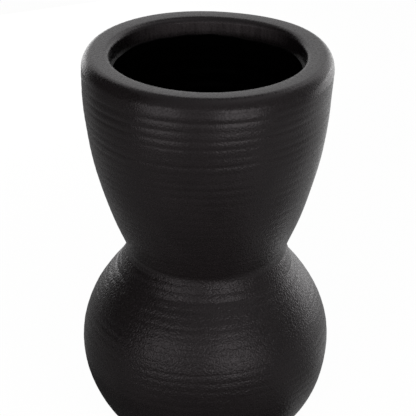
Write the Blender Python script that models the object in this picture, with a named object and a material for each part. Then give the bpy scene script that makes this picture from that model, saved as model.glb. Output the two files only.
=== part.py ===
"""A stoneware vase: a flared cup luted onto a round belly, which stands on a turned foot ring.

Sizes are in metres and +Z is up. The origin is the middle of the foot, on the surface that the vase
stands on. Every piece is turned: its section is drawn as (radius, height) points and spun about Z.
"""

import math

import bmesh
import bpy
from mathutils import Vector
from mathutils.geometry import interpolate_bezier

# Heights of the sections, from the ground up
FOOT_HEIGHT = 0.0055
LOWER_BELLY_HEIGHT = 0.0401  # foot joint to the belly's widest level
UPPER_BELLY_HEIGHT = 0.0466  # widest level to the waist
CUP_HEIGHT = 0.0878  # waist to the top of the rim

# Outer radii
FOOT_RADIUS = 0.0360
BELLY_RADIUS = 0.0539
WAIST_RADIUS = 0.0342
RIM_RADIUS = 0.0516

# Walls, measured level, and the floor
RIM_WALL = 0.0117
WAIST_WALL = 0.0085
BELLY_WALL = 0.0075
FLOOR_THICKNESS = 0.0080
FOOT_WALL = 0.0070

# Rounded edges
LIP_OUTER_ROUND = 0.0048
LIP_INNER_ROUND = 0.0026
FOOT_EDGE_ROUND = 0.0014

# Joints: a tongue under the cup sits in a groove on the belly, with slip between them and a coil inside
CLEARANCE = 0.0003
SLIP_THICKNESS = 0.0005
TONGUE_DEPTH = 0.0020
TONGUE_ROOT_SHARE = 0.40  # of the joint face's width
TONGUE_TIP_SHARE = 0.24
COIL_SEAT_RADIUS = 0.0028

# Glaze poured over the inside
GLAZE_THICKNESS = 0.0006
GLAZE_DROP = 0.0052  # from the lip's inner rounding to the glaze's upper edge

# How long a wall holds its upright run at each end of its curve, as a share of that curve's height
CUP_FULLNESS = 0.592
CUP_INNER_FULLNESS = 0.720
CUP_TUCK = 0.054
SHOULDER_TUCK = 0.212
BELLY_FULLNESS = 0.580  # above the widest level
LOWER_BELLY_FULLNESS = 0.605
FOOT_TUCK = 0.015
FLOOR_FLATNESS = 0.60  # share of the belly's inner radius

# Facets
TURN_STEPS = 48
CUP_STEPS = 11
BELLY_STEPS = 8
CUP_INNER_STEPS = 7
BELLY_INNER_STEPS = 5
ROUND_STEPS = 4
SEAT_STEPS = 3
SHARP_ANGLE = math.radians(40)
WELD_DISTANCE = 1e-6

# Finishes: sRGB colour and roughness
BLACK_STONEWARE = ("#262223", 0.70)
FOOT_STONEWARE = ("#2E2B2A", 0.85)
SLIP_CLAY = ("#3A3635", 0.80)
COIL_CLAY = ("#322F2E", 0.80)
BLACK_GLAZE = ("#0B0A0B", 0.12)

# Levels and inner radii that follow from the sizes above
SEAM_HALF = SLIP_THICKNESS / 2 + CLEARANCE
BASE_LEVEL = FOOT_HEIGHT + SLIP_THICKNESS + 2 * CLEARANCE
BELLY_LEVEL = BASE_LEVEL + LOWER_BELLY_HEIGHT
WAIST_LEVEL = BELLY_LEVEL + UPPER_BELLY_HEIGHT
RIM_LEVEL = WAIST_LEVEL + CUP_HEIGHT
FLOOR_LEVEL = BASE_LEVEL + FLOOR_THICKNESS
MOUTH_RADIUS = RIM_RADIUS - RIM_WALL
NECK_RADIUS = WAIST_RADIUS - WAIST_WALL
BOWL_RADIUS = BELLY_RADIUS - BELLY_WALL
SEAM_ANGLE = math.degrees(math.asin(SEAM_HALF / COIL_SEAT_RADIUS))  # on the coil seat's circle
JOINT_INNER_RADIUS = NECK_RADIUS + COIL_SEAT_RADIUS * math.cos(math.radians(SEAM_ANGLE))


def upright_curve(start, end, start_share, end_share, steps):
    """A smooth wall that leaves start and reaches end upright, each held for a share of the height."""
    drop = Vector((0, end[1] - start[1]))
    start, end = Vector(start), Vector(end)
    return interpolate_bezier(start, start + start_share * drop, end - end_share * drop, end, steps + 1)


def arc(centre, radius, first_degrees, last_degrees, steps):
    """Points on a circle, with 0 degrees pointing away from the axis and 90 degrees up."""
    points = []
    for step in range(steps + 1):
        angle = math.radians(first_degrees + (last_degrees - first_degrees) * step / steps)
        points.append(Vector(centre) + radius * Vector((math.cos(angle), math.sin(angle))))
    return points


def offset(path, distance):
    """The path moved sideways, to the right of the way it runs, with mitred corners.

    A path that ends on the axis meets its own mirror image there, so its end stays on the axis.
    """
    normals = []
    for start, end in zip(path, path[1:]):
        run = (end - start).normalized()
        normals.append(Vector((run.y, -run.x)))
    last = normals[-1].copy()
    if path[-1].x == 0:
        last.x = -last.x
    moved = []
    for point, before, after in zip(path, normals[:1] + normals, normals + [last]):
        moved.append(point + distance * (before + after) / (1 + before.dot(after)))
    return moved


def below(path, level):
    """The part of a falling path under this level, starting on the level itself."""
    count = sum(point.y >= level for point in path)
    over, under = path[count - 1], path[count]
    share = (over.y - level) / (over.y - under.y)
    return [over.lerp(under, share)] + path[count:]


def srgb_to_linear(hex_colour):
    """A "#RRGGBB" colour as linear red, green, blue and alpha."""
    channels = []
    for first in (1, 3, 5):
        value = int(hex_colour[first:first + 2], 16) / 255
        channels.append(value / 12.92 if value <= 0.04045 else ((value + 0.055) / 1.055) ** 2.4)
    return (*channels, 1.0)


def finish(name, colour, roughness):
    """A Principled material for fired clay or glaze."""
    material = bpy.data.materials.new(name)
    material.use_nodes = True
    shader = material.node_tree.nodes["Principled BSDF"]
    shader.inputs["Base Color"].default_value = srgb_to_linear(colour)
    shader.inputs["Roughness"].default_value = roughness
    shader.inputs["Metallic"].default_value = 0.0
    material.diffuse_color = srgb_to_linear(colour)
    return material


def turned(name, section, colour_and_roughness, parent):
    """Spins a section about Z. A section that starts and ends on the axis needs no closing edge."""
    mesh = bpy.data.meshes.new(name)
    bm = bmesh.new()
    corners = [bm.verts.new((point.x, 0, point.y)) for point in section]
    edges = [bm.edges.new(pair) for pair in zip(corners, corners[1:])]
    if section[0].x > 0 or section[-1].x > 0:
        edges.append(bm.edges.new((corners[-1], corners[0])))
    bmesh.ops.spin(
        bm,
        geom=corners + edges,
        cent=(0, 0, 0),
        axis=(0, 0, 1),
        angle=math.tau,
        steps=TURN_STEPS,
        use_merge=True,
    )
    bmesh.ops.remove_doubles(bm, verts=bm.verts, dist=WELD_DISTANCE)
    bmesh.ops.recalc_face_normals(bm, faces=bm.faces)
    bm.to_mesh(mesh)
    bm.free()
    mesh.shade_smooth()
    mesh.set_sharp_from_angle(angle=SHARP_ANGLE)
    mesh.materials.append(finish(name, *colour_and_roughness))
    piece = bpy.data.objects.new(name, mesh)
    piece.parent = parent
    bpy.context.scene.collection.objects.link(piece)


def cup_inner_wall():
    """The cup's inside, from under the lip down to the coil seat."""
    lip = (MOUTH_RADIUS, RIM_LEVEL - LIP_INNER_ROUND)
    neck = (NECK_RADIUS, WAIST_LEVEL + COIL_SEAT_RADIUS)
    return upright_curve(lip, neck, CUP_INNER_FULLNESS, CUP_TUCK, CUP_INNER_STEPS)


def belly_inner_wall():
    """The belly's inside, from the coil seat down to the middle of the floor."""
    neck = (NECK_RADIUS, WAIST_LEVEL - COIL_SEAT_RADIUS)
    widest = (BOWL_RADIUS, BELLY_LEVEL)
    upper = upright_curve(neck, widest, SHOULDER_TUCK, BELLY_FULLNESS, BELLY_INNER_STEPS)
    side, middle = Vector(widest), Vector((0, FLOOR_LEVEL))
    side_handle = side + LOWER_BELLY_FULLNESS * Vector((0, FLOOR_LEVEL - BELLY_LEVEL))
    middle_handle = middle + FLOOR_FLATNESS * Vector((BOWL_RADIUS, 0))
    lower = interpolate_bezier(side, side_handle, middle_handle, middle, BELLY_INNER_STEPS + 2)
    return upper + lower[1:-1] + [middle]


def waist_face(depth):
    """The joint face across the waist, from inside to outside, this far below the cup's own face."""
    level = WAIST_LEVEL + SEAM_HALF
    width = WAIST_RADIUS - JOINT_INNER_RADIUS
    middle = (WAIST_RADIUS + JOINT_INNER_RADIUS) / 2
    root, tip = TONGUE_ROOT_SHARE * width / 2, TONGUE_TIP_SHARE * width / 2
    tongue = [
        (JOINT_INNER_RADIUS, level),
        (middle - root, level),
        (middle - tip, level - TONGUE_DEPTH),
        (middle + tip, level - TONGUE_DEPTH),
        (middle + root, level),
        (WAIST_RADIUS, level),
    ]
    return offset([Vector(point) for point in tongue], depth)


def cup_section():
    """Round the lip, down the outside, across the tongue and the coil seat, and up the inside."""
    lip_centre = (RIM_RADIUS - LIP_OUTER_ROUND, RIM_LEVEL - LIP_OUTER_ROUND)
    mouth_centre = (MOUTH_RADIUS + LIP_INNER_ROUND, RIM_LEVEL - LIP_INNER_ROUND)
    widest = (RIM_RADIUS, RIM_LEVEL - LIP_OUTER_ROUND)
    waist = (WAIST_RADIUS, WAIST_LEVEL + SEAM_HALF)
    neck = (NECK_RADIUS, WAIST_LEVEL)
    section = arc(lip_centre, LIP_OUTER_ROUND, 90, 0, ROUND_STEPS)
    section += upright_curve(widest, waist, CUP_FULLNESS, CUP_TUCK, CUP_STEPS)[1:]
    section += waist_face(0)[-2::-1]
    section += arc(neck, COIL_SEAT_RADIUS, SEAM_ANGLE, 90, SEAT_STEPS)[1:]
    section += cup_inner_wall()[-2::-1]
    section += arc(mouth_centre, LIP_INNER_ROUND, 180, 90, ROUND_STEPS)[1:]
    return section


def belly_section():
    """From the base's middle out to the foot, up the outside, across the groove and down the inside."""
    foot = (FOOT_RADIUS, BASE_LEVEL)
    widest = (BELLY_RADIUS, BELLY_LEVEL)
    waist = (WAIST_RADIUS, WAIST_LEVEL - SEAM_HALF)
    neck = (NECK_RADIUS, WAIST_LEVEL)
    section = [Vector((0, BASE_LEVEL)), Vector((FOOT_RADIUS - FOOT_WALL, BASE_LEVEL))]
    section += upright_curve(foot, widest, FOOT_TUCK, LOWER_BELLY_FULLNESS, BELLY_STEPS)
    section += upright_curve(widest, waist, BELLY_FULLNESS, SHOULDER_TUCK, BELLY_STEPS)[1:]
    section += waist_face(2 * SEAM_HALF)[-2::-1]
    section += arc(neck, COIL_SEAT_RADIUS, -SEAM_ANGLE, -90, SEAT_STEPS)[1:]
    section += belly_inner_wall()[1:]
    return section


def waist_slip_section():
    """The slip between tongue and groove."""
    return waist_face(CLEARANCE) + waist_face(CLEARANCE + SLIP_THICKNESS)[::-1]


def waist_coil_section():
    """Half of a round coil: its back in the seat, its face cut flush with the neck."""
    return arc((NECK_RADIUS, WAIST_LEVEL), COIL_SEAT_RADIUS - CLEARANCE, -90, 90, 2 * SEAT_STEPS)


def foot_ring_section():
    """An upright ring with rounded lower edges and a flat underside."""
    inner = FOOT_RADIUS - FOOT_WALL
    outer_edge = (FOOT_RADIUS - FOOT_EDGE_ROUND, FOOT_EDGE_ROUND)
    inner_edge = (inner + FOOT_EDGE_ROUND, FOOT_EDGE_ROUND)
    section = [Vector((inner, FOOT_HEIGHT)), Vector((FOOT_RADIUS, FOOT_HEIGHT))]
    section += arc(outer_edge, FOOT_EDGE_ROUND, 0, -90, ROUND_STEPS)
    section += arc(inner_edge, FOOT_EDGE_ROUND, -90, -180, ROUND_STEPS)
    return section


def foot_slip_section():
    """The flat layer of slip on top of the foot ring."""
    inner = FOOT_RADIUS - FOOT_WALL
    bottom = FOOT_HEIGHT + CLEARANCE
    top = bottom + SLIP_THICKNESS
    corners = [(inner, bottom), (FOOT_RADIUS, bottom), (FOOT_RADIUS, top), (inner, top)]
    return [Vector(corner) for corner in corners]


def liner_glaze_section():
    """A skin over the whole inside: up its back from the floor's middle, over its edge and down its face."""
    glaze_top = RIM_LEVEL - LIP_INNER_ROUND - GLAZE_DROP
    wall = below(cup_inner_wall(), glaze_top) + belly_inner_wall()
    back = offset(wall, CLEARANCE)
    face = offset(wall, CLEARANCE + GLAZE_THICKNESS)
    return back[::-1] + face


def build():
    """Clears the scene and makes every piece of the vase."""
    for old in list(bpy.data.objects):
        bpy.data.objects.remove(old)
    vase = bpy.data.objects.new("vase", None)
    bpy.context.scene.collection.objects.link(vase)
    turned("cup", cup_section(), BLACK_STONEWARE, vase)
    turned("belly", belly_section(), BLACK_STONEWARE, vase)
    turned("waist_slip", waist_slip_section(), SLIP_CLAY, vase)
    turned("waist_coil", waist_coil_section(), COIL_CLAY, vase)
    turned("foot_ring", foot_ring_section(), FOOT_STONEWARE, vase)
    turned("foot_slip", foot_slip_section(), SLIP_CLAY, vase)
    turned("liner_glaze", liner_glaze_section(), BLACK_GLAZE, vase)


build()
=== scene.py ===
"""The looks of a matte black stoneware vase, thrown in two sections and joined at the waist.

Lengths are in metres and +Z is up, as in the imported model. Each wall is drawn as a path of (radius, height)
points and spun about Z. The marks of the hand are then pressed into it: the spiral that the fingertips left,
the uneven wall, the slight lean, the glaze's wavy edge and the turning tool's rings under the foot.
"""

import math

import bmesh
import bpy
import numpy as np
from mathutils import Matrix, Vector


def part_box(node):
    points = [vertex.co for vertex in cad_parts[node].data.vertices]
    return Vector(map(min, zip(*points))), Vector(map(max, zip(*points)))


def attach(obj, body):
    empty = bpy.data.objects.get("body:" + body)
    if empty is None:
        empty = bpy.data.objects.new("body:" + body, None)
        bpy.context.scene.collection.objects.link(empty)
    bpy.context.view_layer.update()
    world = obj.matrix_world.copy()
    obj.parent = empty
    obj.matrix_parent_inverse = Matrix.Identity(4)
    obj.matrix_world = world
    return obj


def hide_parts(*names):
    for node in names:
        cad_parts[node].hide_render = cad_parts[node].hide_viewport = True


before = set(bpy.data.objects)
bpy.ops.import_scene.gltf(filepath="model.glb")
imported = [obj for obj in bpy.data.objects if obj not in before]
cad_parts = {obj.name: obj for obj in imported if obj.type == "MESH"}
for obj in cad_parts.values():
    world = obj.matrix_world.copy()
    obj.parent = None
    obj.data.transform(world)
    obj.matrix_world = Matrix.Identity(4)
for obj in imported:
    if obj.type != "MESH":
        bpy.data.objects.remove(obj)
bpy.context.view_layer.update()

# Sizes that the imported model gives
RIM_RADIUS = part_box("cup")[1].x
RIM_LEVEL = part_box("cup")[1].z
BELLY_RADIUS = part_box("belly")[1].x
BASE_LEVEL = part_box("belly")[0].z
WAIST_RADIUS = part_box("waist_slip")[1].x
FOOT_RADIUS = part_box("foot_ring")[1].x
GLAZE_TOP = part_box("liner_glaze")[1].z

# Sizes that the part's source has and its boxes don't show
WAIST_LEVEL = 0.0933
BELLY_LEVEL = 0.0467
FLOOR_LEVEL = 0.0146
RIM_WALL = 0.0117
WAIST_WALL = 0.0085
BELLY_WALL = 0.0075
FOOT_WALL = 0.0070
LIP_OUTER_WIDTH = 0.0044  # the fingers left the lip's outer edge an oval, which the source has as a round
LIP_OUTER_DROP = 0.0066
LIP_INNER_ROUND = 0.0026
FOOT_EDGE_ROUND = 0.0014
SLIP_THICKNESS = 0.0005
TONGUE_DEPTH = 0.0020
TONGUE_ROOT_SHARE = 0.40  # of the joint face's width
TONGUE_TIP_SHARE = 0.24
COIL_SEAT_RADIUS = 0.0028
GLAZE_DEPTH = 0.0009  # from the clay to the glaze's face
MOUTH_RADIUS = RIM_RADIUS - RIM_WALL
NECK_RADIUS = WAIST_RADIUS - WAIST_WALL
BOWL_RADIUS = BELLY_RADIUS - BELLY_WALL
FOOT_INNER_RADIUS = FOOT_RADIUS - FOOT_WALL

# How long a wall holds its upright run at each end of its curve, as a share of that curve's height
CUP_FULLNESS = 0.592
CUP_INNER_FULLNESS = 0.720
CUP_TUCK = 0.054
SHOULDER_TUCK = 0.212
BELLY_FULLNESS = 0.580
LOWER_BELLY_FULLNESS = 0.605
FOOT_TUCK = 0.015
FLOOR_FLATNESS = 0.60  # share of the belly's inner radius

# The fired joints: the clay is smoothed together outside, and slip fills the rest
SMOOTHED_SKIN = 0.0010
BEDDING = 0.00002  # between pieces that lie against each other
COIL_DABS = 12  # fingertip presses round the coil
COIL_DAB_DEPTH = 0.0003

# The spiral that the fingertips left, from ridge to groove, and how firmly they pressed at each height
LINE_PITCH = 0.00378
LINE_DEPTH = 0.00014
LINE_DRIFT = 0.07  # how far a line strays from its even place, in turns
DRIFT_LENGTH = 0.020
PRESSURE_CHANGE = 0.4  # how unevenly the fingers pressed, as a share
PRESSURE_LENGTH = 0.008
CUP_LINE_START = 0.68  # where each section's spiral starts, in turns
BELLY_LINE_START = 0.22
WIPED_SIDE = math.radians(-10)  # the cup's right side, where a wet hand wiped the lines softer
WIPED_REACH = math.radians(55)
WIPED_SHARE = 0.65
SHOULDER_RING_LEVEL = 0.0865  # the broad ring that the fingers left under the waist
SHOULDER_RING_REACH = 0.0065
SHOULDER_RING_DEPTH = 0.0003
PRESSED_HEIGHTS = (0.008, 0.030, 0.048, 0.055, 0.076, 0.081, 0.088, 0.100, 0.130, 0.150, 0.170, 0.1755, 0.180)
PRESSED_SHARES = (0.3, 0.4, 0.5, 0.6, 0.6, 0.8, 1.4, 0.3, 0.35, 0.7, 0.8, 1.3, 0.6)
GROOVE_SHARPNESS = 0.25  # 0 is an even wave, and more makes the grooves narrow and the ridges broad
SEAM_CALM = 0.0020  # over which the marks die out towards the waist
UNEVEN_DEPTH = 0.00007
UNEVEN_LENGTH = 0.022

# Other marks of the hand
LEAN = -0.0007  # the belly, sideways
LEAN_RUN = 0.012  # below the waist, over which the lean comes in
RIM_SHIFT = 0.00045  # the rim, sideways
RIM_TIP = -0.011  # rise of the rim towards +X
RIM_DISH = 0.038  # fall of the rim's top towards the mouth
RIM_PULLS = ((35, 0.0010), (78, -0.0008), (140, 0.0005))  # degrees round from +X, and how far outwards
PULL_REACH = math.radians(45)
RIM_BEND = 0.018  # below the lip, over which the rim's shift and tip come in
INNER_PITCH = 0.0062  # the fingers' rings under the glaze
INNER_DEPTH = 0.00030
GLAZE_WAVE = 0.0003  # up and down along the glaze's edge
GLAZE_WAVE_RUN = 0.0060
LONG_WAVE_SHARE = 0.7
SHORT_WAVE_SHARE = 0.4
TRIM_PITCH = 0.0024  # the turning tool's spiral under the foot
TRIM_DEPTH = 0.00018
SIDE_FACING = 0.2  # how far a face looks sideways before the marks on it are full
COIL_FACING = 0.5
UNDER_FACING = -0.9  # how far down a face looks where the turning tool cut it

# The paler band inside the back of the lip: painted light, where light from the front falls into the mouth onto the
# back wall, streaked with painted highlights
PAINTED_LIGHT_DEPTH = 0.0018  # from the mouth into the lip's inner rounding
PAINTED_LIGHT_FADE = 0.0008
PAINTED_LIGHT_START = -0.0004  # from the glaze's edge up to where the band starts and is full
PAINTED_LIGHT_FULL = 0.0022
PAINTED_LIGHT_BACK_START = 0.022  # from the axis towards the back
PAINTED_LIGHT_BACK_FULL = 0.038
HIGHLIGHT_STREAK_WIDTH = 0.0015
HIGHLIGHT_STREAK_STRETCH = 10  # how much longer than wide a streak is

# Grain
MOTTLE_SIZE = 0.011
SAND_SIZE = 0.0008  # the real sand is about 0.3 mm, and is drawn coarser so that it shows
SAND_RELIEF = 0.00027
SMOOTHED_SAND = 0.3  # how much of the sand still shows at the lip
FOOT_GRAIN = 0.0006
SLIP_GRAIN = 0.0003
COIL_GRAIN = 0.0005
CLAY_RELIEF = 0.0002
RIPPLE_SIZE = 0.008  # on the glaze
RIPPLE_RELIEF = 0.0003

# The studio, and the photograph's view
FLOOR_REACH = 4.0
FLOOR_GLOW = 0.8  # share of plain white in the floor that the camera sees, while the rest keeps the shadow
WALL_DISTANCE = 1.6
CEILING_LEVEL = 1.4
CEILING_EDGE = 1.0  # from the axis to where the ceiling's own card ends
CEILING_HOLE = 0.01
FLOOR_CARD_LEVEL = 0.002
FOOT_CARD_LEVEL = 0.003
BACK_OF_FLOOR = 0.22  # brightness straight behind the vase
CAMERA_PLACE = (0.0005, -0.592, 0.4156)
CAMERA_DIP = 27.344  # degrees below level
CAMERA_LENS = 135.0
CAMERA_SENSOR = 36.0

# Mesh
TURN_STEPS = 192
CARD_STEPS = 72
LINE_SPACING = 0.00042  # between rows that carry fingertip or tool lines
RING_SPACING = 0.0010  # between rows on the glaze
PLAIN_SPACING = 0.0020  # between rows that no one sees
ROUND_STEPS = 14
CURVE_STEPS = 400  # for measuring along a curve
SWELL_WAVES = 14
SWELL_TURNS = (0.3, 1.0)  # how often a swell comes and goes in its length
SHARP_ANGLE = math.radians(35)
WELD_DISTANCE = 1e-7


def bezier(start, start_handle, end_handle, end, spacing):
    """A cubic curve with its points evenly spaced along it."""
    t = np.linspace(0, 1, CURVE_STEPS)[:, None]
    curve = (1 - t) ** 3 * start + 3 * (1 - t) ** 2 * t * start_handle
    curve += 3 * (1 - t) * t ** 2 * end_handle + t ** 3 * end
    run = lengths_along(curve)
    even = np.linspace(0, run[-1], max(2, round(run[-1] / spacing) + 1))
    return np.stack([np.interp(even, run, curve[:, 0]), np.interp(even, run, curve[:, 1])], axis=1)


def lengths_along(path):
    """The length of a path from its start to each of its points."""
    return np.concatenate([[0], np.cumsum(np.linalg.norm(np.diff(path, axis=0), axis=1))])


def upright_curve(start, end, start_share, end_share, spacing):
    """A smooth wall that leaves start and reaches end upright, each held for a share of the height."""
    start, end = np.array(start), np.array(end)
    drop = np.array((0, end[1] - start[1]))
    return bezier(start, start + start_share * drop, end - end_share * drop, end, spacing)


def arc(centre, radius, first_degrees, last_degrees):
    """Points on a circle, with 0 degrees pointing away from the axis and 90 degrees up."""
    angles = np.radians(np.linspace(first_degrees, last_degrees, ROUND_STEPS + 1))
    return np.array(centre) + radius * np.stack([np.cos(angles), np.sin(angles)], axis=1)


def offset(path, distance):
    """The path moved sideways, to the right of the way it runs, with mitred corners."""
    runs = np.diff(path, axis=0)
    runs /= np.linalg.norm(runs, axis=1)[:, None]
    normals = np.stack([runs[:, 1], -runs[:, 0]], axis=1)
    before = np.concatenate([normals[:1], normals])
    after = np.concatenate([normals, normals[-1:]])
    return path + distance * (before + after) / (1 + np.sum(before * after, axis=1))[:, None]


def outer_lip():
    """Round the lip's outer edge, from its top to the rim's widest level."""
    rounding = np.array((LIP_OUTER_WIDTH, LIP_OUTER_DROP))
    return arc((RIM_RADIUS, RIM_LEVEL) - rounding, rounding, 90, 0)


def outer_cup_wall():
    """From the rim's widest level down to the waist."""
    widest = (RIM_RADIUS, RIM_LEVEL - LIP_OUTER_DROP)
    return upright_curve(widest, (WAIST_RADIUS, WAIST_LEVEL), CUP_FULLNESS, CUP_TUCK, LINE_SPACING)


def outer_belly_wall():
    """From the waist over the shoulder and the widest level down to the foot."""
    widest = (BELLY_RADIUS, BELLY_LEVEL)
    foot = (FOOT_RADIUS, BASE_LEVEL)
    upper = upright_curve((WAIST_RADIUS, WAIST_LEVEL), widest, SHOULDER_TUCK, BELLY_FULLNESS, LINE_SPACING)
    lower = upright_curve(widest, foot, LOWER_BELLY_FULLNESS, FOOT_TUCK, LINE_SPACING)
    return np.concatenate([upper, lower[1:]])


def inner_cup_wall(spacing):
    """From under the lip down to the coil."""
    lip = (MOUTH_RADIUS, RIM_LEVEL - LIP_INNER_ROUND)
    neck = (NECK_RADIUS, WAIST_LEVEL + COIL_SEAT_RADIUS)
    return upright_curve(lip, neck, CUP_INNER_FULLNESS, CUP_TUCK, spacing)


def inner_belly_wall(spacing):
    """From the coil down to the middle of the floor."""
    neck = (NECK_RADIUS, WAIST_LEVEL - COIL_SEAT_RADIUS)
    widest = np.array((BOWL_RADIUS, BELLY_LEVEL))
    middle = np.array((0, FLOOR_LEVEL))
    upper = upright_curve(neck, widest, SHOULDER_TUCK, BELLY_FULLNESS, spacing)
    side_handle = widest + LOWER_BELLY_FULLNESS * np.array((0, FLOOR_LEVEL - BELLY_LEVEL))
    middle_handle = middle + FLOOR_FLATNESS * np.array((BOWL_RADIUS, 0))
    lower = bezier(widest, side_handle, middle_handle, middle, spacing)
    return np.concatenate([upper, lower[1:]])


def glazed_wall(spacing):
    """The part of the inside under the glaze's edge."""
    wall = np.concatenate([inner_cup_wall(spacing), inner_belly_wall(spacing)])
    edge = np.array([(np.interp(-GLAZE_TOP, -wall[:, 1], wall[:, 0]), GLAZE_TOP)])
    return np.concatenate([edge, wall[wall[:, 1] < GLAZE_TOP]])


def waist_face(depth):
    """The luted face across the waist, from outside to inside, this far below the cup's own face."""
    level = WAIST_LEVEL + SLIP_THICKNESS / 2
    outer, inner = WAIST_RADIUS - SMOOTHED_SKIN, NECK_RADIUS + COIL_SEAT_RADIUS
    middle, width = (outer + inner) / 2, outer - inner
    root, tip = TONGUE_ROOT_SHARE * width / 2, TONGUE_TIP_SHARE * width / 2
    tongue = [
        (outer, level),
        (middle + root, level),
        (middle + tip, level - TONGUE_DEPTH),
        (middle - tip, level - TONGUE_DEPTH),
        (middle - root, level),
        (inner, level),
    ]
    return offset(np.array(tongue), -depth)


def smooth_step(share):
    """Rises smoothly from 0 to 1 as the share goes from 0 to 1."""
    share = np.clip(share, 0, 1)
    return share ** 2 * (3 - 2 * share)


def swells(angle, run, length, waves_round, seed):
    """Smooth random swells of about unit height, this long up a wall, which close on themselves round it."""
    chance = np.random.default_rng(seed)
    total = np.zeros_like(angle)
    for _ in range(SWELL_WAVES):
        around = chance.integers(-waves_round, waves_round + 1)
        along = math.tau * chance.uniform(*SWELL_TURNS) / length
        total += np.cos(around * angle + along * run + chance.uniform(0, math.tau))
    return total * math.sqrt(2 / SWELL_WAVES)


def around_axis(places, normals):
    """The angle of each place about the axis, its radius, and how far its normal points outwards."""
    angle = np.arctan2(places[:, 1], places[:, 0])
    outward = normals[:, 0] * np.cos(angle) + normals[:, 1] * np.sin(angle)
    return angle, np.hypot(places[:, 0], places[:, 1]), outward


def run_down(wall, heights):
    """The length along a falling wall at each height."""
    return np.interp(-heights, -wall[:, 1], lengths_along(wall))


def fingertip_lines(places, normals):
    """Presses the fingertips' spiral, the shoulder's ring and the uneven wall into the outside."""
    angle, _, outward = around_axis(places, normals)
    height = places[:, 2]
    on_cup = height > WAIST_LEVEL
    cup_side = np.concatenate([outer_lip(), outer_cup_wall()[1:]])
    run = np.where(on_cup, run_down(cup_side, height), run_down(outer_belly_wall(), height))
    turn = run / LINE_PITCH + np.where(on_cup, CUP_LINE_START, BELLY_LINE_START) + angle / math.tau
    turn += LINE_DRIFT * swells(angle, run, DRIFT_LENGTH, waves_round=3, seed=11)
    line = np.cos(math.tau * turn) - GROOVE_SHARPNESS * np.cos(2 * math.tau * turn)
    pressure = np.interp(height, PRESSED_HEIGHTS, PRESSED_SHARES)
    pressure *= 1 + PRESSURE_CHANGE * swells(angle, run, PRESSURE_LENGTH, waves_round=4, seed=12)
    wiped_side_or_painted_light_band = smooth_step(1 - np.abs(angle - WIPED_SIDE) / WIPED_REACH)
    pressure *= 1 - WIPED_SHARE * wiped_side_or_painted_light_band * on_cup
    relief = LINE_DEPTH / 2 * pressure * line
    step = np.clip((height - SHOULDER_RING_LEVEL) / SHOULDER_RING_REACH, -1, 1)
    relief += SHOULDER_RING_DEPTH * np.sin(math.pi * step) * (1 - step ** 2)
    relief += UNEVEN_DEPTH * swells(angle, run, UNEVEN_LENGTH, waves_round=4, seed=13)
    relief *= smooth_step(outward / SIDE_FACING)
    relief *= smooth_step(np.abs(height - WAIST_LEVEL) / SEAM_CALM)
    relief *= smooth_step((RIM_LEVEL - height) / LIP_OUTER_DROP)
    relief *= smooth_step((height - BASE_LEVEL) / SEAM_CALM)
    return places + relief[:, None] * normals


def turning_tool_rings(places, normals):
    """Cuts the turning tool's spiral into the base, inside the foot ring."""
    angle, radius, _ = around_axis(places, normals)
    under = (normals[:, 2] < UNDER_FACING) & (places[:, 2] < BASE_LEVEL + WELD_DISTANCE)
    cut = 0.5 + 0.5 * np.cos(math.tau * radius / TRIM_PITCH + angle)
    cut *= smooth_step((FOOT_INNER_RADIUS - radius) / TRIM_PITCH) * smooth_step(radius / TRIM_PITCH)
    return places - (TRIM_DEPTH * cut * under)[:, None] * normals


def leaning(places, normals):
    """Leans the belly a little to one side, as the soft clay settled."""
    height = places[:, 2]
    lean = LEAN * smooth_step((WAIST_LEVEL - height) / LEAN_RUN) * smooth_step(height / BELLY_LEVEL)
    return places + lean[:, None] * np.array((1, 0, 0))


def bent_rim(places, normals):
    """Shifts, tips and dishes the rim a little and pulls it out of round, as the hand left it."""
    angle, radius, _ = around_axis(places, normals)
    share = smooth_step(1 + (places[:, 2] - RIM_LEVEL + LIP_OUTER_DROP / 2) / RIM_BEND)
    moved = places.copy()
    moved[:, 0] += RIM_SHIFT * share
    for degrees, distance in RIM_PULLS:
        away = np.abs(np.angle(np.exp(1j * (angle - math.radians(degrees)))))
        pull = distance * share * smooth_step(1 - away / PULL_REACH)
        moved[:, :2] += pull[:, None] * np.stack([np.cos(angle), np.sin(angle)], axis=1)
    moved[:, 2] += RIM_TIP * share * places[:, 0]
    moved[:, 2] -= RIM_DISH * share * np.maximum(RIM_RADIUS - LIP_OUTER_WIDTH - radius, 0)
    return moved


def rings_under_glaze(places, normals):
    """Lets the fingers' rings on the inside show through the glaze."""
    angle, radius, outward = around_axis(places, normals)
    facing = smooth_step((np.maximum(normals[:, 2], 0) - outward) / SIDE_FACING)
    run = run_down(glazed_wall(RING_SPACING), places[:, 2])
    stray = swells(angle, run, DRIFT_LENGTH, waves_round=2, seed=21)
    ring = np.cos(math.tau * run / INNER_PITCH + angle + stray)
    calm = smooth_step(run / GLAZE_WAVE_RUN) * smooth_step(radius / INNER_PITCH)
    relief = INNER_DEPTH / 2 * ring * facing * calm
    return places + relief[:, None] * normals


def wavy_glaze_edge(places, normals):
    """Ends the poured glaze in a wavy edge."""
    angle, _, _ = around_axis(places, normals)
    moved = places.copy()
    wave = LONG_WAVE_SHARE * swells(angle, run=0, length=1, waves_round=6, seed=31)
    wave += SHORT_WAVE_SHARE * swells(angle, run=0, length=1, waves_round=24, seed=32)
    moved[:, 2] += GLAZE_WAVE * wave * smooth_step(1 + (places[:, 2] - GLAZE_TOP) / GLAZE_WAVE_RUN)
    return moved


def fingertip_dabs(places, normals):
    """Dents the coil's face where a fingertip pressed it home."""
    angle, _, outward = around_axis(places, normals)
    dab = (0.5 + 0.5 * np.cos(COIL_DABS * angle)) * smooth_step(-outward / COIL_FACING)
    dab *= smooth_step(1 - np.abs(places[:, 2] - WAIST_LEVEL) / COIL_SEAT_RADIUS)
    return places - COIL_DAB_DEPTH * dab[:, None] * normals


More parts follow.
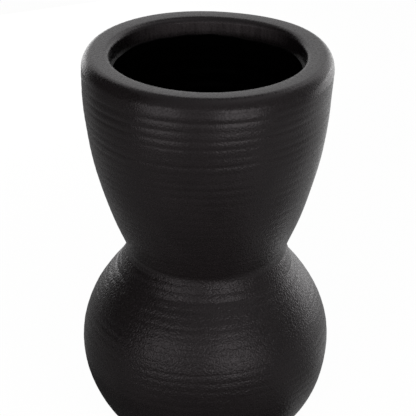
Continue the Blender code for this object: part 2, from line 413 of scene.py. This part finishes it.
def turned_piece(name, path, closed, marks, material, node):
    """Spins a path about Z, presses the marks into it and puts it in the place of its CAD node."""
    form = bmesh.new()
    corners = [form.verts.new((radius, 0, height)) for radius, height in path]
    edges = [form.edges.new(pair) for pair in zip(corners, corners[1:])]
    if closed:
        edges.append(form.edges.new((corners[-1], corners[0])))
    bmesh.ops.spin(
        form,
        geom=corners + edges,
        cent=(0, 0, 0),
        axis=(0, 0, 1),
        angle=math.tau,
        steps=TURN_STEPS,
        use_merge=True,
    )
    bmesh.ops.remove_doubles(form, verts=form.verts, dist=WELD_DISTANCE)
    bmesh.ops.recalc_face_normals(form, faces=form.faces)
    mesh = bpy.data.meshes.new(name)
    form.to_mesh(mesh)
    form.free()
    for mark in marks:
        places = np.empty(3 * len(mesh.vertices), dtype=np.float32)
        normals = np.empty_like(places)
        mesh.vertices.foreach_get("co", places)
        mesh.vertex_normals.foreach_get("vector", normals)
        moved = mark(places.reshape(-1, 3).astype(float), normals.reshape(-1, 3).astype(float))
        mesh.vertices.foreach_set("co", moved.astype(np.float32).ravel())
        mesh.update()
    mesh.shade_smooth()
    mesh.set_sharp_from_angle(angle=SHARP_ANGLE)
    mesh.materials.append(material)
    piece = bpy.data.objects.new(name, mesh)
    bpy.context.scene.collection.objects.link(piece)
    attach(piece, "root")
    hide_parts(node)


def thrown_cup(clay):
    """Round the lip, down the outside, across the tongue and the coil's seat, and up the inside."""
    inner_lip = (MOUTH_RADIUS + LIP_INNER_ROUND, RIM_LEVEL - LIP_INNER_ROUND)
    path = [
        outer_lip(),
        outer_cup_wall()[1:],
        [(WAIST_RADIUS - SMOOTHED_SKIN, WAIST_LEVEL)],
        waist_face(0)[:-1],
        arc((NECK_RADIUS, WAIST_LEVEL), COIL_SEAT_RADIUS, 5, 90),
        inner_cup_wall(PLAIN_SPACING)[-2::-1],
        arc(inner_lip, LIP_INNER_ROUND, 180, 90)[1:],
    ]
    marks = [fingertip_lines, bent_rim]
    turned_piece("thrown_cup", np.concatenate(path), True, marks, clay, "cup")


def thrown_belly(clay):
    """From the base's middle out to the foot, up the outside, across the groove and down the inside."""
    base = np.arange(0, FOOT_RADIUS, LINE_SPACING)
    path = [
        np.stack([base, np.full_like(base, BASE_LEVEL)], axis=1),
        outer_belly_wall()[::-1],
        [(WAIST_RADIUS - SMOOTHED_SKIN, WAIST_LEVEL)],
        waist_face(SLIP_THICKNESS)[:-1],
        arc((NECK_RADIUS, WAIST_LEVEL), COIL_SEAT_RADIUS, -5, -90),
        inner_belly_wall(PLAIN_SPACING)[1:],
    ]
    marks = [fingertip_lines, turning_tool_rings, leaning]
    turned_piece("thrown_belly", np.concatenate(path), False, marks, clay, "belly")


def brushed_waist_slip(slip):
    """The slip between tongue and groove."""
    path = [waist_face(BEDDING), waist_face(SLIP_THICKNESS - BEDDING)[::-1]]
    turned_piece("waist_slip_layer", np.concatenate(path), True, [], slip, "waist_slip")


def pressed_coil(soft_clay):
    """Half of a round coil: its back in the seat, its face pressed flush with the neck."""
    radius = COIL_SEAT_RADIUS - BEDDING
    back = arc((NECK_RADIUS, WAIST_LEVEL), radius, -90, 90)
    face = np.stack([np.full(ROUND_STEPS, NECK_RADIUS), back[1:, 1][::-1]], axis=1)
    path = np.concatenate([back, face[1:]])
    turned_piece("pressed_coil", path, True, [fingertip_dabs], soft_clay, "waist_coil")


def turned_foot(foot_clay):
    """An upright ring with rounded lower edges, smoothed onto the belly and hollowed on top for its slip."""
    outer_edge = (FOOT_RADIUS - FOOT_EDGE_ROUND, FOOT_EDGE_ROUND)
    inner_edge = (FOOT_INNER_RADIUS + FOOT_EDGE_ROUND, FOOT_EDGE_ROUND)
    bed = BASE_LEVEL - SLIP_THICKNESS
    top = [
        (FOOT_INNER_RADIUS, BASE_LEVEL),
        (FOOT_INNER_RADIUS + SMOOTHED_SKIN, BASE_LEVEL),
        (FOOT_INNER_RADIUS + SMOOTHED_SKIN, bed),
        (FOOT_RADIUS - SMOOTHED_SKIN, bed),
        (FOOT_RADIUS - SMOOTHED_SKIN, BASE_LEVEL),
        (FOOT_RADIUS, BASE_LEVEL),
    ]
    path = [top, arc(outer_edge, FOOT_EDGE_ROUND, 0, -90), arc(inner_edge, FOOT_EDGE_ROUND, -90, -180)]
    turned_piece("turned_foot", np.concatenate(path), True, [], foot_clay, "foot_ring")


def brushed_foot_slip(slip):
    """The flat layer of slip between the foot ring and the belly."""
    inner, outer = FOOT_INNER_RADIUS + SMOOTHED_SKIN + BEDDING, FOOT_RADIUS - SMOOTHED_SKIN - BEDDING
    bottom, top = BASE_LEVEL - SLIP_THICKNESS + BEDDING, BASE_LEVEL - BEDDING
    path = [(inner, bottom), (outer, bottom), (outer, top), (inner, top)]
    turned_piece("foot_slip_layer", path, True, [], slip, "foot_slip")


def poured_liner(glaze):
    """A skin of glaze over the whole inside, from its wavy edge down to the middle of the floor."""
    back = offset(glazed_wall(PLAIN_SPACING), -BEDDING)
    face = offset(glazed_wall(RING_SPACING), GLAZE_DEPTH)
    back[-1, 0] = face[-1, 0] = 0
    path = np.concatenate([back[::-1], face])
    marks = [rings_under_glaze, wavy_glaze_edge, leaning, bent_rim]
    turned_piece("poured_liner", path, False, marks, glaze, "liner_glaze")


def srgb(hex_colour):
    """A "#RRGGBB" colour as linear red, green, blue and alpha."""
    channels = []
    for first in (1, 3, 5):
        value = int(hex_colour[first:first + 2], 16) / 255
        channels.append(value / 12.92 if value <= 0.04045 else ((value + 0.055) / 1.055) ** 2.4)
    return (*channels, 1.0)


def add_node(tree, kind, inputs=None, **settings):
    """Adds a node. Each input is a value, or the socket that it is linked from."""
    made = tree.nodes.new(kind)
    for name, value in settings.items():
        setattr(made, name, value)
    for name, value in (inputs or {}).items():
        if isinstance(value, bpy.types.NodeSocket):
            tree.links.new(value, made.inputs[name])
        else:
            made.inputs[name].default_value = value
    return made


def new_material(name):
    """An empty node material and its output node."""
    material = bpy.data.materials.new(name)
    material.use_nodes = True
    material.node_tree.nodes.clear()
    return material, material.node_tree, add_node(material.node_tree, "ShaderNodeOutputMaterial")


def black_stoneware():
    """Black stoneware with sand in it, thrown and left unglazed: dark, dry and grainy, with a broad low sheen."""
    material, tree, output = new_material("black_stoneware_thrown")
    place = add_node(tree, "ShaderNodeTexCoord").outputs["Object"]
    mottle = add_node(tree, "ShaderNodeTexNoise", {"Vector": place, "Scale": 1 / MOTTLE_SIZE, "Detail": 4.0})
    sand = add_node(tree, "ShaderNodeTexNoise", {"Vector": place, "Scale": 1 / SAND_SIZE, "Detail": 1.0})
    colour = add_node(
        tree, "ShaderNodeMix",
        {"Factor": mottle.outputs["Fac"], "A": srgb("#1D191A"), "B": srgb("#282324")},
        data_type="RGBA",
    )
    # Painted light: a paler band on the back wall inside the lip, where light from the front falls into the mouth,
    # streaked with painted highlights
    across = add_node(tree, "ShaderNodeVectorMath", {0: place, 1: (1, 1, 0)}, operation="MULTIPLY")
    radius = add_node(tree, "ShaderNodeVectorMath", {0: across.outputs["Vector"]}, operation="LENGTH")
    spot = add_node(tree, "ShaderNodeSeparateXYZ", {"Vector": place})
    height = spot.outputs["Z"]
    inside = add_node(
        tree, "ShaderNodeMapRange",
        {
            "Value": radius.outputs["Value"],
            "From Min": MOUTH_RADIUS + PAINTED_LIGHT_DEPTH + PAINTED_LIGHT_FADE,
            "From Max": MOUTH_RADIUS + PAINTED_LIGHT_DEPTH,
        },
    )
    under_lip = add_node(
        tree, "ShaderNodeMapRange",
        {"Value": height, "From Min": RIM_LEVEL - LIP_INNER_ROUND / 2, "From Max": RIM_LEVEL - LIP_INNER_ROUND},
    )
    over_glaze = add_node(
        tree, "ShaderNodeMapRange",
        {"Value": height, "From Min": GLAZE_TOP + PAINTED_LIGHT_START, "From Max": GLAZE_TOP + PAINTED_LIGHT_FULL},
    )
    at_back = add_node(
        tree, "ShaderNodeMapRange",
        {"Value": spot.outputs["Y"], "From Min": PAINTED_LIGHT_BACK_START, "From Max": PAINTED_LIGHT_BACK_FULL},
    )
    on_wall = add_node(
        tree, "ShaderNodeMath",
        {0: inside.outputs["Result"], 1: under_lip.outputs["Result"]},
        operation="MULTIPLY",
    )
    painted_light_back_wall = add_node(
        tree, "ShaderNodeMath",
        {0: on_wall.outputs["Value"], 1: at_back.outputs["Result"]},
        operation="MULTIPLY",
    )
    wiped_side_or_painted_light_band = add_node(
        tree, "ShaderNodeMath",
        {0: painted_light_back_wall.outputs["Value"], 1: over_glaze.outputs["Result"]},
        operation="MULTIPLY",
    )
    highlight_streak_place = add_node(tree, "ShaderNodeMapping", {"Vector": place, "Scale": (1, 1, 1 / HIGHLIGHT_STREAK_STRETCH)})
    painted_highlight_streaks = add_node(
        tree, "ShaderNodeTexNoise",
        {"Vector": highlight_streak_place.outputs["Vector"], "Scale": 1 / HIGHLIGHT_STREAK_WIDTH, "Detail": 2.0},
    )
    painted_light_share = add_node(
        tree, "ShaderNodeMath", {0: wiped_side_or_painted_light_band.outputs["Value"], 1: painted_highlight_streaks.outputs["Fac"]}, operation="MULTIPLY"
    )
    # The painted light band's paler colour, mixed over the clay's own colour
    colour = add_node(
        tree, "ShaderNodeMix",
        {"Factor": painted_light_share.outputs["Value"], "A": colour.outputs["Result"], "B": srgb("#7A7274")},
        data_type="RGBA",
    )
    gloss = add_node(
        tree, "ShaderNodeMapRange",
        {"Value": sand.outputs["Fac"], "From Min": 0.35, "From Max": 0.65, "To Min": 0.19, "To Max": 0.38},
    )
    # The cup was smoothed towards its lip with a wet strip of leather, so the sand shows less there
    sandy = add_node(
        tree, "ShaderNodeMapRange",
        {"Value": height, "From Min": WAIST_LEVEL, "From Max": RIM_LEVEL, "To Min": 1.0, "To Max": SMOOTHED_SAND},
    )
    grain = add_node(
        tree, "ShaderNodeBump",
        {"Height": sand.outputs["Fac"], "Strength": sandy.outputs["Result"], "Distance": SAND_RELIEF},
    )
    shader = add_node(
        tree, "ShaderNodeBsdfPrincipled",
        {
            "Base Color": colour.outputs["Result"],
            "Roughness": gloss.outputs["Result"],
            "Normal": grain.outputs["Normal"],
            "IOR": 1.5,
            "Specular Tint": srgb("#FFF7FB"),
        },
    )
    tree.links.new(shader.outputs["BSDF"], output.inputs["Surface"])
    return material


def black_glaze():
    """A poured black glaze, fired glossy: near black, with sharp reflections and a faintly wavy skin."""
    material, tree, output = new_material("black_glaze_poured")
    place = add_node(tree, "ShaderNodeTexCoord").outputs["Object"]
    wave = add_node(tree, "ShaderNodeTexNoise", {"Vector": place, "Scale": 1 / RIPPLE_SIZE, "Detail": 1.0})
    skin = add_node(
        tree, "ShaderNodeBump", {"Height": wave.outputs["Fac"], "Strength": 0.6, "Distance": RIPPLE_RELIEF}
    )
    tone = add_node(
        tree, "ShaderNodeMix",
        {"Factor": wave.outputs["Fac"], "A": srgb("#050505"), "B": srgb("#0B0A0B")},
        data_type="RGBA",
    )
    shader = add_node(
        tree, "ShaderNodeBsdfPrincipled",
        {"Base Color": tone.outputs["Result"], "Roughness": 0.15, "Normal": skin.outputs["Normal"], "IOR": 1.5},
    )
    tree.links.new(shader.outputs["BSDF"], output.inputs["Surface"])
    return material


def dry_clay(name, dark, light, grain_size):
    """Bare fired clay, turned, brushed or pressed: dry and dull, a little lighter than the thrown skin."""
    material, tree, output = new_material(name)
    place = add_node(tree, "ShaderNodeTexCoord").outputs["Object"]
    grain = add_node(tree, "ShaderNodeTexNoise", {"Vector": place, "Scale": 1 / grain_size, "Detail": 4.0})
    tone = add_node(
        tree, "ShaderNodeMix",
        {"Factor": grain.outputs["Fac"], "A": srgb(dark), "B": srgb(light)},
        data_type="RGBA",
    )
    rough = add_node(
        tree, "ShaderNodeBump", {"Height": grain.outputs["Fac"], "Strength": 0.7, "Distance": CLAY_RELIEF}
    )
    shader = add_node(
        tree, "ShaderNodeBsdfPrincipled",
        {"Base Color": tone.outputs["Result"], "Roughness": 0.8, "Normal": rough.outputs["Normal"], "IOR": 1.5},
    )
    tree.links.new(shader.outputs["BSDF"], output.inputs["Surface"])
    return material


def is_background_ray(tree):
    """1 for a ray that shows the background: straight from the camera, mirrored or passing through glass."""
    path = add_node(tree, "ShaderNodeLightPath").outputs
    seen = add_node(
        tree, "ShaderNodeMath", {0: path["Is Camera Ray"], 1: path["Is Glossy Ray"]}, operation="MAXIMUM"
    )
    either = add_node(
        tree, "ShaderNodeMath",
        {0: seen.outputs["Value"], 1: path["Is Transmission Ray"]},
        operation="MAXIMUM",
    )
    return either.outputs["Value"]


def stage_piece(name, form, material):
    """Puts a part of the studio in place."""
    mesh = bpy.data.meshes.new(name)
    form.to_mesh(mesh)
    form.free()
    mesh.materials.append(material)
    piece = bpy.data.objects.new(name, mesh)
    bpy.context.scene.collection.objects.link(piece)
    return piece


def white_floor():
    """A white paper floor, which goes to pure white where no shadow falls."""
    material, tree, output = new_material("white_paper_floor")
    paper = add_node(tree, "ShaderNodeBsdfDiffuse", {"Color": srgb("#E9E8E6")})
    glow = add_node(tree, "ShaderNodeEmission", {"Color": (1, 1, 1, 1), "Strength": 1.2})
    share = add_node(tree, "ShaderNodeMath", {0: is_background_ray(tree), 1: FLOOR_GLOW}, operation="MULTIPLY")
    mixed = add_node(
        tree, "ShaderNodeMixShader",
        {0: share.outputs["Value"], 1: paper.outputs["BSDF"], 2: glow.outputs["Emission"]},
    )
    tree.links.new(mixed.outputs["Shader"], output.inputs["Surface"])
    form = bmesh.new()
    bmesh.ops.create_grid(form, x_segments=1, y_segments=1, size=FLOOR_REACH)
    stage_piece("floor", form, material)


def card_tone():
    """The plain glowing face of the studio's cards, as bright as the card's own brightness says."""
    material, tree, output = new_material("studio_card")
    brightness = add_node(tree, "ShaderNodeAttribute", attribute_name="brightness")
    tone = add_node(tree, "ShaderNodeEmission", {"Color": (1, 1, 1, 1), "Strength": brightness.outputs["Fac"]})
    tree.links.new(tone.outputs["Emission"], output.inputs["Surface"])
    return material


def studio_card(name, profile, brightness, material):
    """A card all round the vase that only reflections see: dark parts keep the white room out of the dark clay.

    Its profile is (radius, height) points, and its brightness runs evenly between (degrees, value) points.
    0 degrees is the camera's side and 90 the right.
    """
    form = bmesh.new()
    corners = [form.verts.new((0, radius, height)) for radius, height in profile]
    edges = [form.edges.new(pair) for pair in zip(corners, corners[1:])]
    bmesh.ops.spin(
        form,
        geom=corners + edges,
        cent=(0, 0, 0),
        axis=(0, 0, 1),
        angle=math.tau,
        steps=CARD_STEPS,
        use_merge=True,
    )
    card = stage_piece(name, form, material)
    degrees, values = zip(*brightness)
    shown = card.data.attributes.new("brightness", "FLOAT", "POINT")
    for corner, value in zip(card.data.vertices, shown.data):
        value.value = np.interp(math.degrees(math.atan2(corner.co.x, -corner.co.y)), degrees, values)
    card.visible_camera = False
    card.visible_diffuse = False
    card.visible_shadow = False
    card.visible_transmission = False


def walls_and_ceiling(tone):
    """Cards round the vase, from the floor up and over it: dark on the left and bright on both sides of the back."""
    left = [(-170, 0.9), (-140, 0.9), (-130, 0.03), (-62, 0.03), (-52, 0.22)]
    studio_card(
        "foot_of_wall", [(WALL_DISTANCE, 0.0), (WALL_DISTANCE, 0.2)],
        [(-180, 0.86), *left, (100, 0.2), (110, 0.8), (116, 1.6), (130, 1.7), (150, 1.6), (165, 1.1), (178, 0.84),
         (180, 0.86)],
        tone,
    )
    studio_card(
        "low_wall", [(WALL_DISTANCE, 0.2), (WALL_DISTANCE, 0.5)],
        [(-180, 0.86), *left, (100, 0.2), (114, 0.4), (126, 1.0), (145, 1.15), (165, 0.95), (178, 0.84), (180, 0.86)],
        tone,
    )
    studio_card(
        "middle_wall", [(WALL_DISTANCE, 0.5), (WALL_DISTANCE, 0.85)],
        [(-180, 0.86), *left, (100, 0.2), (114, 0.35), (126, 1.1), (145, 1.15), (165, 0.73), (180, 0.83)],
        tone,
    )
    studio_card(
        "upper_wall", [(WALL_DISTANCE, 0.85), (WALL_DISTANCE, CEILING_LEVEL)],
        [(-180, 0.87), *left, (60, 0.22), (100, 0.24), (116, 0.4), (128, 1.1), (150, 1.05), (165, 0.83), (180, 0.87)],
        tone,
    )
    studio_card(
        "edge_of_ceiling", [(WALL_DISTANCE, CEILING_LEVEL), (CEILING_EDGE, CEILING_LEVEL)],
        [(-180, 0.87), (-140, 0.9), (-130, 0.03), (-62, 0.03), (-50, 0.22), (-20, 0.25), (15, 0.34),
         (60, 0.36), (100, 0.4), (110, 1.05), (150, 1.05), (165, 0.83), (180, 0.87)],
        tone,
    )
    studio_card(
        "ceiling", [(CEILING_EDGE, CEILING_LEVEL), (CEILING_HOLE, CEILING_LEVEL)],
        [(-180, 0.25), (-25, 0.25), (-5, 0.34), (15, 0.40), (60, 0.56), (100, 0.56), (130, 0.25), (180, 0.25)],
        tone,
    )


def floor_rings(tone):
    """Cards that lie round the foot, ring by ring: dim in front and on the left, bright at the back right."""
    # Painted shadow: a dim ring round the foot, except at the back right, that stands for the vase's own shadow on
    # the floor as reflections see it
    studio_card(
        "painted_shadow_at_foot", [(0.037, FOOT_CARD_LEVEL), (0.085, FOOT_CARD_LEVEL)],
        [(-180, 0.04), (60, 0.04), (70, 0.3), (170, 0.3), (180, 0.04)],
        tone,
    )
    back = [(-180, BACK_OF_FLOOR), (-125, BACK_OF_FLOOR)]
    near = [*back, (-115, 0.13), (-55, 0.11), (10, 0.06), (35, 0.09), (60, 0.2), (95, 0.2)]
    middle = [*back, (-115, 0.17), (10, 0.17), (35, 0.24), (60, 0.28), (95, 0.28)]
    outer = [*back, (-115, 0.10), (-65, 0.10), (-50, 0.17), (10, 0.17), (60, 0.22), (95, 0.22)]
    rings = [
        ("near_floor", 0.085, 0.1, near, [(105, 0.48), (165, 0.48)]),
        ("bright_floor", 0.1, 0.14, near, [(105, 0.55), (115, 0.6), (132, 0.5), (145, 0.34), (165, 0.3)]),
        ("inner_floor", 0.14, 0.17, near, [(105, 0.44), (130, 0.36), (165, 0.3)]),
        ("middle_floor", 0.17, 0.23, middle, [(105, 0.45), (135, 0.44), (150, 0.46), (170, 0.46)]),
        ("wide_floor", 0.23, 0.35, middle, [(105, 0.48), (135, 0.5), (146, 0.85), (158, 0.85), (170, 0.58)]),
        ("outer_floor", 0.35, 0.43, outer,
         [(105, 0.4), (113, 0.4), (122, 0.55), (130, 0.5), (138, 0.45), (150, 0.6), (170, 0.7)]),
        ("open_floor", 0.43, 0.55, outer,
         [(104, 0.42), (111, 0.7), (124, 1.2), (140, 1.6), (150, 1.5), (170, 0.9)]),
        ("far_floor", 0.55, WALL_DISTANCE, outer,
         [(104, 0.4), (110, 1.4), (125, 1.5), (145, 1.5), (170, 1.4)]),
    ]
    for name, inner_radius, outer_radius, front, right in rings:
        profile = [(inner_radius, FLOOR_CARD_LEVEL), (outer_radius, FLOOR_CARD_LEVEL)]
        studio_card(name, profile, [*front, *right, (180, BACK_OF_FLOOR)], tone)


def softbox(name, azimuth, level, distance, width, height, brightness):
    """A soft upright lamp that faces the vase. Azimuth 0 is the camera's side and 90 the right."""
    turn = math.radians(azimuth)
    away = Vector((math.sin(turn), -math.cos(turn), 0))
    lamp = bpy.data.lights.new(name, "AREA")
    lamp.shape = "RECTANGLE"
    lamp.size = width
    lamp.size_y = height
    lamp.energy = brightness * math.pi * width * height
    stand = bpy.data.objects.new(name, lamp)
    stand.location = distance * away + Vector((0, 0, level))
    stand.rotation_mode = "QUATERNION"
    stand.rotation_quaternion = away.to_track_quat("Z", "Y")
    stand.visible_camera = False
    bpy.context.scene.collection.objects.link(stand)
    return stand


def white_room():
    """A white background all round, and a low even light from it."""
    world = bpy.data.worlds.new("white_room")
    world.use_nodes = True
    tree = world.node_tree
    tree.nodes.clear()
    output = add_node(tree, "ShaderNodeOutputWorld")
    light = add_node(tree, "ShaderNodeBackground", {"Color": (1, 1, 1, 1), "Strength": 0.13})
    backdrop = add_node(tree, "ShaderNodeBackground", {"Color": (1, 1, 1, 1), "Strength": 1.0})
    mixed = add_node(
        tree, "ShaderNodeMixShader",
        {0: is_background_ray(tree), 1: light.outputs["Background"], 2: backdrop.outputs["Background"]},
    )
    tree.links.new(mixed.outputs["Shader"], output.inputs["Surface"])
    bpy.context.scene.world = world


def photograph_camera():
    """The photograph's view, found from its outline and the curve of the rim."""
    camera = bpy.data.objects.new("camera", bpy.data.cameras.new("camera"))
    camera.data.lens = CAMERA_LENS
    camera.data.sensor_width = CAMERA_SENSOR
    camera.location = CAMERA_PLACE
    camera.rotation_euler = (math.radians(90 - CAMERA_DIP), 0, 0)
    bpy.context.scene.collection.objects.link(camera)
    bpy.context.scene.camera = camera


clay = black_stoneware()
glaze = black_glaze()
foot_clay = dry_clay("foot_stoneware_turned", "#262423", "#353130", FOOT_GRAIN)
slip = dry_clay("slip_clay_brushed", "#322F2E", "#423D3C", SLIP_GRAIN)
coil_clay = dry_clay("coil_clay_pressed", "#2A2827", "#393635", COIL_GRAIN)

thrown_cup(clay)
thrown_belly(clay)
brushed_waist_slip(slip)
pressed_coil(coil_clay)
turned_foot(foot_clay)
brushed_foot_slip(slip)
poured_liner(glaze)

white_floor()
white_room()
tone = card_tone()
walls_and_ceiling(tone)
floor_rings(tone)
softbox("front_fill", azimuth=-7.5, level=0.128, distance=0.36, width=0.50, height=0.165, brightness=0.15)
softbox("left_softbox", azimuth=-40, level=0.128, distance=0.33, width=0.195, height=0.165, brightness=0.77)
softbox("right_softbox", azimuth=25.5, level=0.128, distance=0.33, width=0.195, height=0.165, brightness=1.15)
softbox("right_rim_light", azimuth=134, level=0.06, distance=1.2, width=0.47, height=0.22, brightness=1.4)
softbox("left_rim_light", azimuth=-157, level=0.10, distance=0.55, width=0.33, height=0.20, brightness=1.4)
key = softbox("front_key", azimuth=-7, level=0.26, distance=0.60, width=0.30, height=0.12, brightness=4.5)
key.visible_glossy = False
photograph_camera()
bpy.context.scene.view_settings.view_transform = "Standard"
